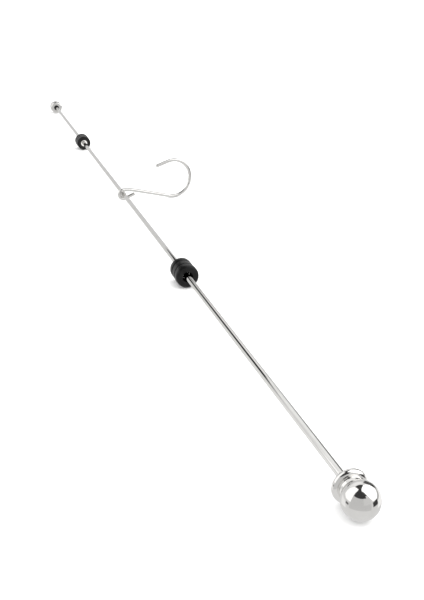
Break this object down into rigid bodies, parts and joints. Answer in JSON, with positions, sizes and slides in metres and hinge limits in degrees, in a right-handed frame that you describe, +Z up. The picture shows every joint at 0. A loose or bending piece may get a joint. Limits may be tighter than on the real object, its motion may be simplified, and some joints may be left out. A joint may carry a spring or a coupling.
{
  "type": "ball ended stick with hanging hook",
  "caption": "Slim chrome stick with a ball knob at each end, two ribbed rubber stops and a sliding, swivelling wire hanging hook.",
  "frame": {"origin": "middle of the rod, on its axis", "axes": "+X along the rod towards the near knob, +Y towards the side on which the hook lies, +Z up"},
  "size_m": [1.356, 0.0987, 0.0486],
  "materials": {
    "chrome": "mirror polished, faint handling marks",
    "chrome_wire": "bright plated wire",
    "stop_rubber": "matte moulded rubber",
    "ring_rubber": "smooth moulded rubber",
    "liner_steel": "plain bright sleeve",
    "screw_steel": "blackened steel"
  },
  "bodies": {
    "stick": {"rod": "chrome", "near_knob": "chrome", "far_knob": "chrome", "near_knob_ring": "ring_rubber", "far_knob_ring": "ring_rubber"},
    "near_stop": {"near_grip": "stop_rubber", "near_collar": "chrome", "near_collar_screw": "screw_steel"},
    "far_stop": {"far_grip": "stop_rubber", "far_collar": "chrome", "far_collar_screw": "screw_steel"},
    "hook_slider": {"hook_liner": "liner_steel"},
    "hook": {"hook": "chrome_wire"}
  },
  "joints": [
    {"name": "hook_slide", "type": "slide", "parent": "stick", "child": "hook_slider", "axis": [1, 0, 0], "range_m": [-0.312, 0.265]},
    {"name": "hook_swivel", "type": "hinge", "parent": "hook_slider", "child": "hook", "pos_m": [0.024, 0, 0], "axis": [1, 0, 0], "continuous": true},
    {"name": "near_stop_slide", "type": "slide", "parent": "stick", "child": "near_stop", "axis": [1, 0, 0], "range_m": [0, 0.325]},
    {"name": "far_stop_slide", "type": "slide", "parent": "stick", "child": "far_stop", "axis": [-1, 0, 0], "range_m": [0, 0.325]}
  ]
}
